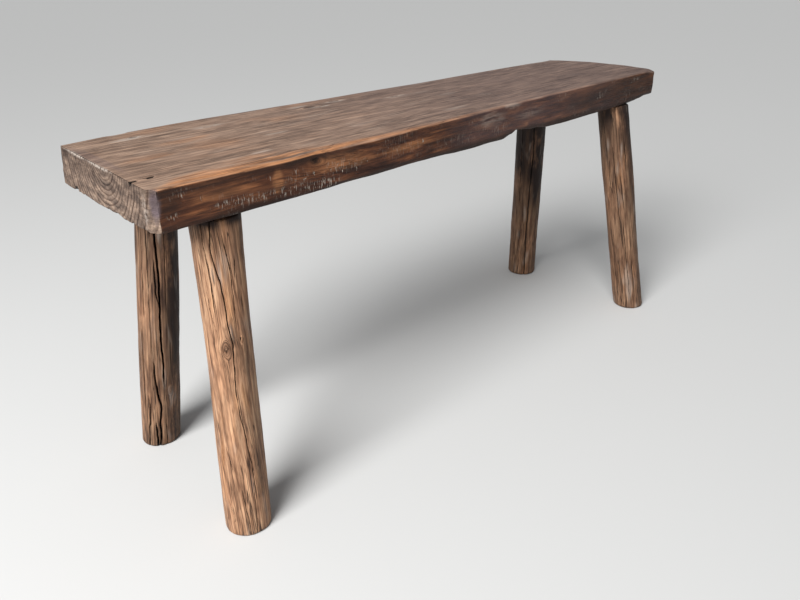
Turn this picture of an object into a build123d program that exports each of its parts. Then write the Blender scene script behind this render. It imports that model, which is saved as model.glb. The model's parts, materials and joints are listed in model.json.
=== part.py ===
"""Rustic backless bench: one thick seat plank on four splayed pole legs.

Each leg is a single debarked pole with a round tenon cut on its top end. The tenon stops inside a
blind mortise, bored up into the plank on the leg's own slant, and a hidden wedge spreads it there.
The parts stand in the bench's own frame: +Z up, X along the seat, the front long edge on the -Y
side, and the origin on the floor in the middle of the bench's footprint. Units are millimetres.
"""

from build123d import *

import os
from collections import namedtuple
from math import radians, tan

# Seat plank
SEAT_HEIGHT = 460.0
SEAT_THICKNESS = 47.0
SEAT_LEFT_END = -496.0
SEAT_RIGHT_END = 507.0
CORNER_RADIUS = 7.0
TOP_ARRIS = 4.0
UNDER_ARRIS = 6.0
UNDERSIDE = SEAT_HEIGHT - SEAT_THICKNESS

# Tenons and mortises, measured along the leg's axis from the seat's underside. The tenon's root is
# how far below the underside it starts, down inside the pole, and its mortise's cutter starts there.
TENON_DIAMETER = 36.0
TENON_DEPTH = 31.0
TENON_TIP_CHAMFER = 1.5
TENON_ROOT = 15.0
MORTISE_CLEARANCE = 0.15
MORTISE_DEPTH = TENON_DEPTH + 0.5

# Poles: the level shoulder stops short of the underside, and its rim and the foot's are rounded
SHOULDER_GAP = 4.0
SHOULDER_ARRIS = 2.0
FOOT_ARRIS = 4.0

# Wedges and the saw kerfs they are driven into, one across each tenon's tip
WEDGE_LENGTH = 22.0
WEDGE_WIDTH = 33.0
WEDGE_THICK_END = 5.0
WEDGE_THIN_END = 1.8
KERF_DEPTH = 27.0
KERF_CLEARANCE = 0.1

# Where each leg's axis meets the underside, how far its foot leans out along X (rake) and along Y
# (splay) in degrees, and the pole's diameter. The poles are hand picked, so no two are the same.
LegSize = namedtuple("LegSize", "x y rake splay diameter")
LEGS = {
    "left_front": LegSize(-408, -85, -4.6, -6.1, 57),
    "left_back": LegSize(-391, 93, -6.6, 3.8, 56),
    "right_back": LegSize(402, 84, 6.1, 4.5, 58),
    "right_front": LegSize(408, -87, 8.6, -7.5, 55),
}


def leg_plane(leg):
    """The plane at right angles to a leg's axis, where the axis meets the seat's underside."""
    up_the_leg = Vector(-tan(radians(leg.rake)), -tan(radians(leg.splay)), 1)
    return Plane(origin=(leg.x, leg.y, UNDERSIDE), x_dir=(1, 0, 0), z_dir=up_the_leg)


def wedge_plane(leg):
    """The plane through a leg's axis that a wedge's side faces lie along, X across, Y up the leg."""
    axis_plane = leg_plane(leg)
    return Plane(origin=axis_plane.origin, x_dir=axis_plane.x_dir, z_dir=-axis_plane.y_dir)


def make_seat():
    """The plank: bowed long edges, a square left end, a worn and rounded right end."""
    left_back = (SEAT_LEFT_END + 6, 127)
    left_front_far = (SEAT_LEFT_END, -108)
    left_front_near = (SEAT_LEFT_END + 12, -125)
    right_back = (SEAT_RIGHT_END - 40, 103)
    right_front = (SEAT_RIGHT_END - 6, -112)
    with BuildPart() as seat:
        with BuildSketch(Plane.XY.offset(UNDERSIDE)) as outline:
            with BuildLine():
                Spline(left_back, (-400, 135), (-130, 124), (180, 110), right_back)
                ThreePointArc(right_back, (SEAT_RIGHT_END, 10), right_front)
                Spline(right_front, (240, -112), (-100, -123), (-330, -126), left_front_near)
                Line(left_front_near, left_front_far)
                Line(left_front_far, left_back)
            make_face()
            fillet(outline.vertices(), radius=CORNER_RADIUS)
        extrude(amount=SEAT_THICKNESS)
        fillet(seat.faces().sort_by(Axis.Z)[-1].edges(), radius=TOP_ARRIS)
        fillet(seat.faces().sort_by(Axis.Z)[0].edges(), radius=UNDER_ARRIS)
        for leg in LEGS.values():
            with BuildSketch(leg_plane(leg).offset(-TENON_ROOT)):
                Circle(TENON_DIAMETER / 2 + MORTISE_CLEARANCE)
            extrude(amount=TENON_ROOT + MORTISE_DEPTH, mode=Mode.SUBTRACT)
    return seat


def wedge_profile(clearance):
    """A wedge's taper, with its thick end up by the mortise's floor."""
    thick = WEDGE_THICK_END / 2 + clearance
    thin = WEDGE_THIN_END / 2 + clearance
    top = MORTISE_DEPTH - KERF_CLEARANCE
    bottom = top - WEDGE_LENGTH - clearance
    return Polygon((-thick, top), (thick, top), (thin, bottom), (-thin, bottom), align=None)


def make_leg(leg):
    """One pole: flat foot on the floor, level shoulder, round tenon with a kerf across its tip."""
    axis_plane = leg_plane(leg)
    overrun = leg.diameter
    with BuildPart() as pole:
        with BuildSketch(axis_plane.offset(-UNDERSIDE - overrun)):
            Circle(leg.diameter / 2)
        extrude(amount=UNDERSIDE + 2 * overrun)
        split(bisect_by=Plane.XY, keep=Keep.TOP)
        split(bisect_by=Plane.XY.offset(UNDERSIDE - SHOULDER_GAP), keep=Keep.BOTTOM)
        fillet(pole.edges().group_by(Axis.Z)[0], radius=FOOT_ARRIS)
        fillet(pole.edges().group_by(Axis.Z)[-1], radius=SHOULDER_ARRIS)
        with BuildSketch(axis_plane.offset(-TENON_ROOT)):
            Circle(TENON_DIAMETER / 2)
        extrude(amount=TENON_ROOT + TENON_DEPTH)
        chamfer(pole.faces().sort_by(Axis.Z)[-1].edges(), length=TENON_TIP_CHAMFER)
        with BuildSketch(wedge_plane(leg)):
            wedge_profile(KERF_CLEARANCE)
            with Locations((0, TENON_DEPTH - KERF_DEPTH / 2)):
                Rectangle(WEDGE_THIN_END, KERF_DEPTH)
        extrude(amount=TENON_DIAMETER / 2 + 1, both=True, mode=Mode.SUBTRACT)
    return pole


def make_wedge(leg):
    """One hidden wedge, across the plank's grain so that it can't split the plank."""
    with BuildPart() as wedge:
        with BuildSketch(wedge_plane(leg)):
            wedge_profile(0)
        extrude(amount=WEDGE_WIDTH / 2, both=True)
    return wedge


pieces = {"seat_plank": make_seat()}
for place, leg in LEGS.items():
    pieces[f"leg_{place}"] = make_leg(leg)
    pieces[f"wedge_{place}"] = make_wedge(leg)

# The origin goes to the middle of the footprint of the whole bench, which the feet widen.
footprint = Compound([piece.part for piece in pieces.values()]).bounding_box()
to_origin = Location((-footprint.center().X, -footprint.center().Y, 0))

os.makedirs("parts", exist_ok=True)
for name, piece in pieces.items():
    piece.part.locate(to_origin)
    piece.part.label = name
    export_step(piece.part, f"parts/{name}.step")
    print(name, "volume cm3", round(piece.part.volume / 1000, 1), "valid", piece.part.is_valid)
print("shift to the bench's own frame", to_origin.position)
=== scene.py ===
"""Looks for the rustic backless bench: a hewn, worn plank on four checked pole legs.

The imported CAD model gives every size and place. The plank and the poles are rebuilt here as fine
meshes with their tool marks, wear, knots and drying checks, and stand for their CAD nodes. The
hidden wedges stay as they are. Everything is in metres, in the bench's own frame: +X along the
seat, -Y the front long edge, +Z up, and the floor at z = 0.
"""

import json
import math
from collections import namedtuple
from itertools import pairwise

import bpy
import numpy as np
from mathutils import Matrix, Vector


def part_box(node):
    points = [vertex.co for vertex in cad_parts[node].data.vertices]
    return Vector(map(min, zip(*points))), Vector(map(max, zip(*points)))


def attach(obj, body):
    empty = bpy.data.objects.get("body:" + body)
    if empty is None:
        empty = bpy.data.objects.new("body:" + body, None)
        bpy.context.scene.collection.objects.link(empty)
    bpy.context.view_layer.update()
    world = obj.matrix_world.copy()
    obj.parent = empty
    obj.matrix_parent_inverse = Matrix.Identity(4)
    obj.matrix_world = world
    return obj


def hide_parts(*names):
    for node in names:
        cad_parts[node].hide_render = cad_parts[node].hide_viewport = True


MM = 0.001
PLACES = ("left_front", "left_back", "right_back", "right_front")

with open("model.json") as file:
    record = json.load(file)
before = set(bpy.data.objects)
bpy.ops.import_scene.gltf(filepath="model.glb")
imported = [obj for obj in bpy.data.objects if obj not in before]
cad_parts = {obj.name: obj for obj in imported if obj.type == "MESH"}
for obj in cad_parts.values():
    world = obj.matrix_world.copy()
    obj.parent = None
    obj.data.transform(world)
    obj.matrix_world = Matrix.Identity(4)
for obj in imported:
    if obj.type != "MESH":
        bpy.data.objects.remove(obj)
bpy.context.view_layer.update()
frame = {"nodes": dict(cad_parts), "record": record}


# ==== Camera, first of all: in front of the bench's left end, looking along the seat ====

CAMERA_PLACE = (-0.786, -0.776, 0.68)
CAMERA_YAW = math.radians(43.02)
CAMERA_PITCH = math.radians(26.76)
CAMERA_ROLL = math.radians(-0.71)
CAMERA_LENS = 32.19
CAMERA_SENSOR = 36


def add_camera():
    """A level look is along +Y: yaw turns it to +X, pitch tips it down, roll leans it over."""
    camera = bpy.data.objects.new("camera", bpy.data.cameras.new("camera"))
    camera.data.lens = CAMERA_LENS
    camera.data.sensor_width = CAMERA_SENSOR
    yaw = Matrix.Rotation(-CAMERA_YAW, 4, "Z")
    pitch = Matrix.Rotation(math.pi / 2 - CAMERA_PITCH, 4, "X")
    roll = Matrix.Rotation(CAMERA_ROLL, 4, "Z")
    camera.matrix_world = Matrix.Translation(CAMERA_PLACE) @ yaw @ pitch @ roll
    bpy.context.scene.collection.objects.link(camera)
    bpy.context.scene.camera = camera


add_camera()


# ==== Numbers over many points at once ====

GRADIENTS = np.random.default_rng(11).normal(size=(4096, 3))
GRADIENTS /= np.linalg.norm(GRADIENTS, axis=1)[:, None]
CELL_CORNERS = [(i, j, k) for i in (0, 1) for j in (0, 1) for k in (0, 1)]
HASH_PRIMES = (73856093, 19349663, 83492791)
NOISE_GAIN = 1.6

# How far apart in the noise one seed is from the next, and one octave from the next
SEED_STEP = 31.7
OCTAVE_STEP = 9.1


def gradient_noise(points):
    """Smooth noise of about -1 to 1, with one bump to each unit cell."""
    cell = np.floor(points).astype(np.int64)
    part = points - cell
    fade = part**3 * (part * (part * 6 - 15) + 10)
    total = np.zeros(len(points))
    for corner in CELL_CORNERS:
        node = cell + corner
        mixed = np.bitwise_xor.reduce(node * HASH_PRIMES, axis=1)
        slope = GRADIENTS[mixed & (len(GRADIENTS) - 1)]
        weight = np.prod(np.where(corner, fade, 1 - fade), axis=1)
        total += weight * np.sum(slope * (part - corner), axis=1)
    return total * NOISE_GAIN


def noise(points, bump_mm, seed, octaves=1):
    """Noise with bumps of the given size along X, Y and Z, each octave half as large."""
    scaled = points / (np.array(bump_mm) * MM) + seed * SEED_STEP
    total = sum(gradient_noise(scaled * 2**o + o * OCTAVE_STEP) / 2**o for o in range(octaves))
    return total / (2 - 2.0 ** (1 - octaves))


def smooth(low, high, value):
    """0 at low, 1 at high, with an S-curve between. Low may be the larger of the two."""
    part = np.clip((value - low) / (high - low), 0, 1)
    return part * part * (3 - 2 * part)


def eased(value, stops, levels):
    """The level at each stop, with an S-curve from one stop to the next."""
    stops, levels = np.array(stops, float), np.array(levels, float)
    step = np.clip(np.searchsorted(stops, value) - 1, 0, len(stops) - 2)
    part = smooth(0, 1, (value - stops[step]) / (stops[step + 1] - stops[step]))
    return levels[step] + (levels[step + 1] - levels[step]) * part


def spread(count, closer, near, far, lean=0):
    """count + 1 places from 0 to 1, closer together within near of the start and far of the end.
    A lean also makes the whole first half finer than the second."""
    t = (np.arange(count) + 0.5) / count
    ends = np.exp(-t / near) + np.exp((t - 1) / far)
    steps = (1 - closer * ends) * (1 + lean * (2 * t - 1))
    return np.concatenate([[0], np.cumsum(steps)]) / steps.sum()


def grid_quads(index, flip=False):
    """The four-cornered faces of a 2-D array of point numbers."""
    corners = [index[:-1, :-1], index[1:, :-1], index[1:, 1:], index[:-1, 1:]]
    quads = np.stack([corner.ravel() for corner in corners], axis=1)
    return quads[:, ::-1] if flip else quads


def point_normals(points, quads):
    """Each point's outward direction, from the faces around it."""
    along = points[quads[:, 2]] - points[quads[:, 0]]
    across = points[quads[:, 3]] - points[quads[:, 1]]
    facing = np.cross(along, across)
    total = np.zeros_like(points)
    for corner in range(4):
        np.add.at(total, quads[:, corner], facing)
    return total / np.maximum(np.linalg.norm(total, axis=1), 1e-12)[:, None]


def node_points(node):
    """The mesh points of a CAD node."""
    vertices = frame["nodes"][node].data.vertices
    flat = np.empty(len(vertices) * 3, np.float32)
    vertices.foreach_get("co", flat)
    return flat.reshape(-1, 3).astype(float)


def make_piece(name, points, faces, masks, material):
    """A smooth-shaded object from points and faces, with a mask or a vector for each point."""
    mesh = bpy.data.meshes.new(name)
    mesh.from_pydata(points.tolist(), [], faces)
    for mask, values in masks.items():
        kind, field = ("FLOAT", "value") if values.ndim == 1 else ("FLOAT_VECTOR", "vector")
        layer = mesh.attributes.new(mask, kind, "POINT")
        layer.data.foreach_set(field, values.astype(np.float32).ravel())
    mesh.shade_smooth()
    mesh.materials.append(material)
    piece = bpy.data.objects.new(name, mesh)
    bpy.context.scene.collection.objects.link(piece)
    return piece


def carve(piece, cutter):
    """Takes the cutter's volume out of the piece, and removes the cutter."""
    cut = piece.modifiers.new("cut", "BOOLEAN")
    cut.operation = "DIFFERENCE"
    cut.solver = "MANIFOLD"
    cut.object = cutter
    with bpy.context.temp_override(object=piece, active_object=piece):
        bpy.ops.object.modifier_apply(modifier=cut.name)
    bpy.data.objects.remove(cutter)


# ==== Facts about the legs, read from the CAD model ====

Axis = namedtuple("Axis", "foot up radius tenon_radius tip")


def leg_axis(place):
    """A leg's axis from its foot to its wedge, and its radii and tenon tip along that axis."""
    mounts = {mount["name"]: mount["pos_m"] for mount in frame["record"]["mounts"]}
    foot = np.array(mounts[f"foot_{place}"])
    wedge_middle = node_points(f"wedge_{place}").mean(axis=0)
    up = (wedge_middle - foot) / np.linalg.norm(wedge_middle - foot)
    reach = node_points(f"leg_{place}") - foot
    height = reach @ up
    radius = np.linalg.norm(reach - height[:, None] * up, axis=1)
    tenon = height > height.max() - 10 * MM
    return Axis(foot, up, radius.max(), radius[tenon].max(), height.max())


AXES = {place: leg_axis(place) for place in PLACES}
PLANK_LOW, PLANK_HIGH = (np.array(corner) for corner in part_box("seat_plank"))
SEAT_TOP = PLANK_HIGH[2]
UNDERSIDE = PLANK_LOW[2]


# ==== Materials ====


class Tree:
    """A material's node tree, with a short method for each kind of node that the woods use."""

    def __init__(self, name):
        self.material = bpy.data.materials.new(name)
        self.material.use_nodes = True
        self.nodes = self.material.node_tree.nodes
        self.links = self.material.node_tree.links
        self.shader = self.nodes["Principled BSDF"]

    def add(self, kind, inputs, **settings):
        """Adds a node. A socket given as an input is linked, and a plain value is set."""
        node = self.nodes.new("ShaderNode" + kind)
        for setting, value in settings.items():
            setattr(node, setting, value)
        for key, value in inputs.items():
            if isinstance(value, bpy.types.NodeSocket):
                self.links.new(value, node.inputs[key])
            else:
                node.inputs[key].default_value = value
        return node

    def mask(self, name):
        """A point attribute that holds one number."""
        return self.add("Attribute", {}, attribute_name=name).outputs["Fac"]

    def place(self, name):
        """A point attribute that holds a vector."""
        return self.add("Attribute", {}, attribute_name=name).outputs["Vector"]

    def math(self, operation, first, second=0.0):
        return self.add("Math", {0: first, 1: second}, operation=operation).outputs[0]

    def times(self, first, second):
        return self.math("MULTIPLY", first, second)

    def total(self, *parts):
        """The sum of each value times its share."""
        added = 0.0
        for value, share in parts:
            inputs = {0: value, 1: share, 2: added}
            added = self.add("Math", inputs, operation="MULTIPLY_ADD").outputs[0]
        return added

    def upright(self):
        """An object's own coordinates with its height first."""
        place = self.add("TexCoord", {}).outputs["Object"]
        parts = self.add("SeparateXYZ", {0: place}).outputs
        return self.add("CombineXYZ", {0: parts[2], 1: parts[0], 2: parts[1]}).outputs[0]

    def vector(self, operation, first, second):
        node = self.add("VectorMath", {0: first, 1: second}, operation=operation)
        return node.outputs["Vector"]

    def length(self, vector):
        return self.add("VectorMath", {0: vector}, operation="LENGTH").outputs["Value"]

    def noise(self, place, per_metre, detail=2.0, roughness=0.5, seed=0.0):
        """Noise of 0 to 1, with so many bumps to the metre along X, Y and Z."""
        scaled = self.vector("MULTIPLY", place, per_metre)
        moved = self.vector("ADD", scaled, (seed, seed * 1.7, seed * 0.6))
        inputs = {"Vector": moved, "Scale": 1.0, "Detail": detail, "Roughness": roughness}
        return self.add("TexNoise", inputs).outputs["Fac"]

    def between(self, value, low, high):
        """0 up to low and 1 from high on, with an S-curve between."""
        inputs = {"Value": value, "From Min": low, "From Max": high}
        return self.add("MapRange", inputs, interpolation_type="SMOOTHSTEP").outputs[0]

    def mix(self, share, first, second, blend="MIX"):
        """The first colour at a share of 0, and the second mixed or multiplied in at 1."""
        sockets = {0: share}
        for socket, colour in ((6, first), (7, second)):
            sockets[socket] = colour if isinstance(colour, bpy.types.NodeSocket) else (*colour, 1)
        settings = {"data_type": "RGBA", "blend_type": blend, "clamp_factor": True}
        return self.add("Mix", sockets, **settings).outputs[2]

    def ramp(self, value, stops):
        """The colour at each stop, and an even change from one stop to the next."""
        node = self.add("ValToRGB", {"Fac": value})
        elements = node.color_ramp.elements
        while len(elements) < len(stops):
            elements.new(0.5)
        for element, (position, colour) in zip(elements, stops):
            element.position = position
            element.color = (*colour, 1)
        return node.outputs["Color"]

    def bump(self, height, distance, strength, onto=None):
        """A surface that stands out with the height, on top of another bump if there is one."""
        inputs = {"Height": height, "Distance": distance, "Strength": strength}
        if onto is not None:
            inputs["Normal"] = onto
        return self.add("Bump", inputs).outputs["Normal"]


# One wood: its long-grain colours from dark to light, its end-grain colours, the colour where it is
# worn, how thick its growth rings are, how dark its rings and lines are, how much its fibres stand
# out, how rough it is, and its long-grain colours where it faces up, if they differ
WOOD_FACTS = "side end worn ring_mm ring_shade line_shade fibre_shade roughness top"
Wood = namedtuple("Wood", WOOD_FACTS, defaults=(None,))
PLANK_WOOD = Wood(
    side=((0.036, 0.0135, 0.009), (0.092, 0.033, 0.016), (0.172, 0.066, 0.028)),
    top=((0.205, 0.133, 0.095), (0.28, 0.184, 0.132), (0.36, 0.243, 0.176)),
    end=((0.085, 0.06, 0.047), (0.172, 0.12, 0.091), (0.3, 0.215, 0.16)),
    worn=(0.45, 0.2, 0.085),
    ring_mm=4.6,
    ring_shade=0.45,
    line_shade=0.5,
    fibre_shade=0.72,
    roughness=0.56,
)
POLE_WOOD = Wood(
    side=((0.235, 0.118, 0.066), (0.375, 0.208, 0.12), (0.455, 0.278, 0.168)),
    end=((0.13, 0.08, 0.05), (0.24, 0.15, 0.09), (0.36, 0.24, 0.15)),
    worn=(0.5, 0.23, 0.09),
    ring_mm=2.1,
    ring_shade=0.5,
    line_shade=0.85,
    fibre_shade=1.0,
    roughness=0.58,
)
WEDGE_WOOD = Wood(
    side=((0.3, 0.19, 0.1), (0.46, 0.32, 0.19), (0.6, 0.44, 0.28)),
    end=((0.25, 0.16, 0.09), (0.36, 0.24, 0.14), (0.45, 0.32, 0.2)),
    worn=(0.5, 0.3, 0.15),
    ring_mm=1.6,
    ring_shade=0.3,
    line_shade=0.3,
    fibre_shade=0.7,
    roughness=0.65,
)
# Near-black, for grimy dirt and the dark grain lines, and for painted shade
GRIME_AND_SHADE = (0.02, 0.01, 0.007)
# Pale, for dusting and for a painted highlight along an edge
DUST_AND_HIGHLIGHT = (0.42, 0.355, 0.305)
FILLER = (0.46, 0.4, 0.335)
WEATHERED = (0.12, 0.089, 0.096)
# Near-black painted shade for the inside of cracks and checks
CRACK_SHADE = (0.006, 0.004, 0.003)


# Noises in a wood: bumps to the metre along the grain and across it, detail, roughness and seed
GRAIN_NOISES = {
    "fibre": (17, 560, 3, 0.6, 3),
    "thread": (12, 270, 3, 0.6, 6),
    "streak": (6, 105, 3, 0.6, 5),
    "patch": (9, 28, 5, 0.65, 8),
    "mottle": (32, 170, 2, 0.6, 9),
}
# The positions of a wood's three colours along its noise, for long grain and for end grain
LONG_STOPS = (0.41, 0.5, 0.59)
END_STOPS = (0.32, 0.5, 0.67)

# How the fibres shade the wood, and the tints of the late wood in long grain and in end grain
FIBRE_SHADES = [(0.37, (0.52, 0.49, 0.47)), (0.5, (1, 1, 1)), (0.63, (1.50, 1.47, 1.43))]
LONG_RING_TINT = (0.3, 0.22, 0.18)
END_RING_TINT = (0.24, 0.18, 0.15)

Pattern = namedtuple("Pattern", "fibre thread streak patch mottle late lines end_tone")


def late_wood(tree, grain, wood):
    """1 in the dark late wood of each growth ring. Some rings are darker than others, and the
    rings are thicker further out from the pith."""
    sway = tree.math("SUBTRACT", tree.noise(grain, (2.6, 13, 13)), 0.5)
    across = tree.vector("MULTIPLY", grain, (0, 1, 1))
    radius = tree.math("ADD", tree.length(across), tree.times(sway, 10 * MM))
    ring = wood.ring_mm * MM
    rings = tree.math("DIVIDE", radius, tree.total((radius, 2 * ring), (1.0, ring)))
    year = tree.math("FRACT", rings)
    late = tree.times(tree.between(year, 0.35, 0.85), tree.between(year, 1.0, 0.92))
    whole = tree.math("FLOOR", rings)
    odds = tree.add("TexWhiteNoise", {"W": whole}, noise_dimensions="1D").outputs["Value"]
    return tree.times(late, tree.total((odds, 0.7), (1.0, 0.3)))


def dark_lines(tree, grain, per_metre, width, seed):
    """1 along thin wandering lines, which come and go along the grain."""
    level = tree.noise(grain, per_metre, detail=1, seed=seed)
    apart = tree.math("ABSOLUTE", tree.math("SUBTRACT", level, 0.5))
    shown = tree.between(tree.noise(grain, (7, 40, 40), detail=1, seed=seed + 3), 0.44, 0.6)
    return tree.times(tree.between(apart, width, width * 0.15), shown)


def wood_pattern(tree, grain, wood):
    """The noises, rings and lines that a wood's colour and its relief share."""
    noises = [
        tree.noise(grain, (along, across, across), detail, roughness, seed)
        for along, across, detail, roughness, seed in GRAIN_NOISES.values()
    ]
    long_lines = dark_lines(tree, grain, (3, 160, 160), 0.026, 1)
    short_lines = dark_lines(tree, grain, (10, 330, 330), 0.036, 12)
    lines = tree.math("MAXIMUM", long_lines, short_lines)
    lines = tree.times(lines, tree.math("SUBTRACT", 1.0, tree.mask("end_grain")))
    end_tone = tree.noise(grain, (60, 45, 110), detail=5, roughness=0.65, seed=2)
    return Pattern(*noises, late_wood(tree, grain, wood), lines, end_tone)


def clean_colour(tree, wood, pattern):
    """The wood's own colour: long grain on the sides and on top, and end grain."""
    streaky = tree.total((pattern.streak, 0.15), (pattern.thread, 0.25), (pattern.mottle, 0.25))
    tone = tree.total((streaky, 1.0), (pattern.patch, 0.35))
    side = tree.ramp(tone, list(zip(LONG_STOPS, wood.side)))
    top = tree.ramp(tone, list(zip(LONG_STOPS, wood.top or wood.side)))
    face_up = tree.mask("face_up")
    colour = tree.mix(face_up, side, top)
    rings = tree.times(pattern.late, tree.total((face_up, -0.28), (1.0, wood.ring_shade)))
    colour = tree.mix(rings, colour, LONG_RING_TINT, "MULTIPLY")
    end = tree.ramp(pattern.end_tone, list(zip(END_STOPS, wood.end)))
    end = tree.mix(tree.times(pattern.late, 0.95), end, END_RING_TINT, "MULTIPLY")
    return tree.mix(tree.mask("end_grain"), colour, end)


def aged_colour(tree, wood, pattern, colour):
    """The clean colour with its fibres, then worn, cracked, weathered, dirtied and in painted shade,
    and dusted and painted with highlights on top.
    """
    shades = tree.total((pattern.fibre, 0.45), (pattern.thread, 0.25), (pattern.mottle, 0.3))
    fibre_shade = tree.ramp(shades, FIBRE_SHADES)
    shown = tree.total((tree.mask("face_up"), -0.05), (1.0, wood.fibre_shade))
    colour = tree.mix(shown, colour, tree.mix(1.0, colour, fibre_shade, "MULTIPLY"))
    worn = tree.mix(1.0, wood.worn, fibre_shade, "MULTIPLY")
    rubbed = tree.times(tree.mask("wear"), tree.between(pattern.streak, 0.3, 0.52))
    colour = tree.mix(rubbed, colour, worn)
    colour = tree.mix(tree.times(pattern.lines, wood.line_shade), colour, GRIME_AND_SHADE)
    colour = tree.mix(tree.mask("weathered"), colour, WEATHERED)
    # Dirt, and painted shade where the mask holds it
    soot_and_shade = tree.times(tree.mask("grime_and_shade"), tree.between(pattern.patch, 0.25, 0.5))
    colour = tree.mix(soot_and_shade, colour, GRIME_AND_SHADE)
    # Dusting, and painted highlights where the mask holds them
    dust_and_highlight_share = tree.times(tree.mask("dust_and_highlight"), tree.between(pattern.thread, 0.36, 0.58))
    return tree.mix(dust_and_highlight_share, colour, DUST_AND_HIGHLIGHT)


def old_wood(name, wood, wedge=False):
    """Aged, waxed wood. Its grain follows the point attribute grain, X along the log and Y and Z
    out from the pith, and the other point attributes say where each kind of ageing is. A wedge has
    no attributes, and its grain runs up its length."""
    tree = Tree(name)
    grain = tree.upright() if wedge else tree.place("grain")
    pattern = wood_pattern(tree, grain, wood)
    colour = aged_colour(tree, wood, pattern, clean_colour(tree, wood, pattern))
    hatch = tree.noise(grain, (600, 150, 130), detail=3, roughness=0.6, seed=4)
    hatch = tree.times(tree.between(hatch, 0.53, 0.65), 0.8)
    filled = tree.times(tree.mask("filler"), hatch)
    colour = tree.mix(filled, colour, FILLER)
    # Near-black painted shade inside the cracks and checks
    colour = tree.mix(tree.between(tree.mask("shaded_crack"), 0.12, 0.7), colour, CRACK_SHADE)
    tree.links.new(colour, tree.shader.inputs["Base Color"])

    end_grain = tree.mask("end_grain")
    rough = tree.total((pattern.thread, 0.3), (end_grain, 0.2), (1.0, wood.roughness - 0.15))
    tree.links.new(rough, tree.shader.inputs["Roughness"])
    tree.shader.inputs["Specular IOR Level"].default_value = 0.22

    ridges = (pattern.fibre, 0.8), (pattern.thread, 1.0), (pattern.lines, -0.5), (pattern.late, -0.2)
    normal = tree.bump(tree.total(*ridges), 1.1 * MM, 0.9)
    pitted = tree.times(end_grain, pattern.end_tone)
    normal = tree.bump(pitted, 4 * MM, 0.9, onto=normal)
    normal = tree.bump(filled, 0.5 * MM, 0.6, onto=normal)
    tree.links.new(normal, tree.shader.inputs["Normal"])
    return tree.material


# ==== Grain and knots ====


# How much longer than wide a knot is, how many of its widths the fibres round it are led over, how
# ragged it is, and how closely its own fibres are rolled
KNOT_LENGTH = 2.2
KNOT_LEAD = 5
KNOT_RAGGED = 0.25
KNOT_ROLL = 0.9


def bend_grain(grain, points, knot_grain, radius):
    """Leads the fibres round a knot and rolls its own fibres into rings. Returns how far inside
    the knot each point is, 0 to 1."""
    offset = grain - knot_grain
    across = np.linalg.norm(offset[:, 1:], axis=1)
    ragged = 1 + KNOT_RAGGED * noise(points, (9, 9, 9), 61, octaves=2)
    reach = np.hypot(across, offset[:, 0] / KNOT_LENGTH) / (radius * ragged)
    led = 1 - np.exp(-((reach / KNOT_LEAD) ** 2)) / np.maximum(reach, 1) ** 2
    led = np.where(reach < 1, 0, led)
    inside = np.clip(1 - reach, 0, 1)
    rolled = inside[:, None] * radius * KNOT_ROLL
    grain[:, 1:] = knot_grain[1:] + offset[:, 1:] * led[:, None] + rolled
    return inside


# ==== Seat plank ====

# The plank's cells along, across and up, and its length and mean width in mm
PLANK_CELLS = (400, 80, 30)
PLANK_LENGTH = 1003
MEAN_WIDTH = 240

# How far below the underside a tenon's root is, and how much its mortise is wider and deeper
TENON_ROOT = 15 * MM
MORTISE_CLEARANCE = 0.15 * MM
MORTISE_SPARE = 0.5 * MM
MORTISE_FACETS = 64

# Where the log's heart runs: its Y, and how far above the seat's top, in mm
PITH_Y = 3
PITH_ABOVE_TOP = 13

# Distances from the left end, in mm, and there: how far the front edge stands in or out, how far
# its top has worn down and how far in that reaches, and how far its bottom edge is hewn up
FRONT_WAVE = (
    (0, 28, 90, 150, 205, 255, 300, 400, 500, 600, 740, 870, 985),
    (3, 4, 4, 4, 5, 0, -1, 1.5, 0, 1.5, -2, -3, 0),
)
WORN_DROP = (
    (0, 12, 40, 90, 130, 170, 230, 330, 500, 970, 1003),
    (0.3, 0.7, 0.9, 1.6, 2.6, 3.2, 2.0, 1.2, 0.7, 0.7, 5),
)
WORN_REACH = ((0, 12, 40, 200, 260, 400, 970, 1003), (4, 9, 24, 24, 16, 9, 8, 24))
LOW_EDGE = (
    (0, 25, 100, 210, 260, 400, 520, 560, 580, 594, 640, 680, 740, 900, 960, 985),
    (1, 0, -1.5, -1.5, 0, -1, -4, -5, 0, 5, 0, -4, -4, -3, 0, 3),
)
# By the same distances: how round the long edges are, and how far in and how strong the rubbed
# colour is along the front edge, and how dark the painted shade is in the band under it
TOP_ARRIS = ((0, 40, 300, 930, 985), (1.2, 2, 2.5, 3, 8))
LOW_FRONT_ARRIS = ((0, 40, 200, 260, 550, 620, 930, 985), (1.5, 4, 5, 11, 9, 6, 7, 10))
LOW_BACK_ARRIS = ((0, 40, 300, 500, 800, 985), (1.5, 6, 9, 6, 10, 14))
RUBBED_REACH = ((0, 12, 45, 190, 260, 420, 1003), (3, 9, 30, 32, 19, 9, 6))
RUBBED = ((0, 10, 35, 250, 420, 700, 1003), (0.1, 0.45, 0.9, 0.9, 0.75, 0.4, 0.15))
UNDER_EDGE_SHADE = ((0, 180, 270, 420, 1003), (1, 1, 0.3, 0.25, 0.1))

# How round the left end's top and bottom edges are, and the right end's, where the top edge gets
# rounder by so much within a share of the width of the front corner
LEFT_ARRIS = (1.2, 1.5)
RIGHT_ARRIS = (4, 9)
RIGHT_CORNER_WEAR = 4
RIGHT_CORNER_WORN = 0.3

# How far out the left end's bottom edge stands, by Y, and how far along the seat that reaches
END_FLARE = ((-130, -95, -65, -30, 60, 125, 140), (1, 1, 2, 2.5, 4, 5.5, 5))
FLARE_REACH = 40

# How near a corner the CAD outline's rounding is left out, by the corner's side in X and Y
SHARP_WITHIN = {(-1, 1): 3.5, (-1, -1): 20, (1, -1): 7}

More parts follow.
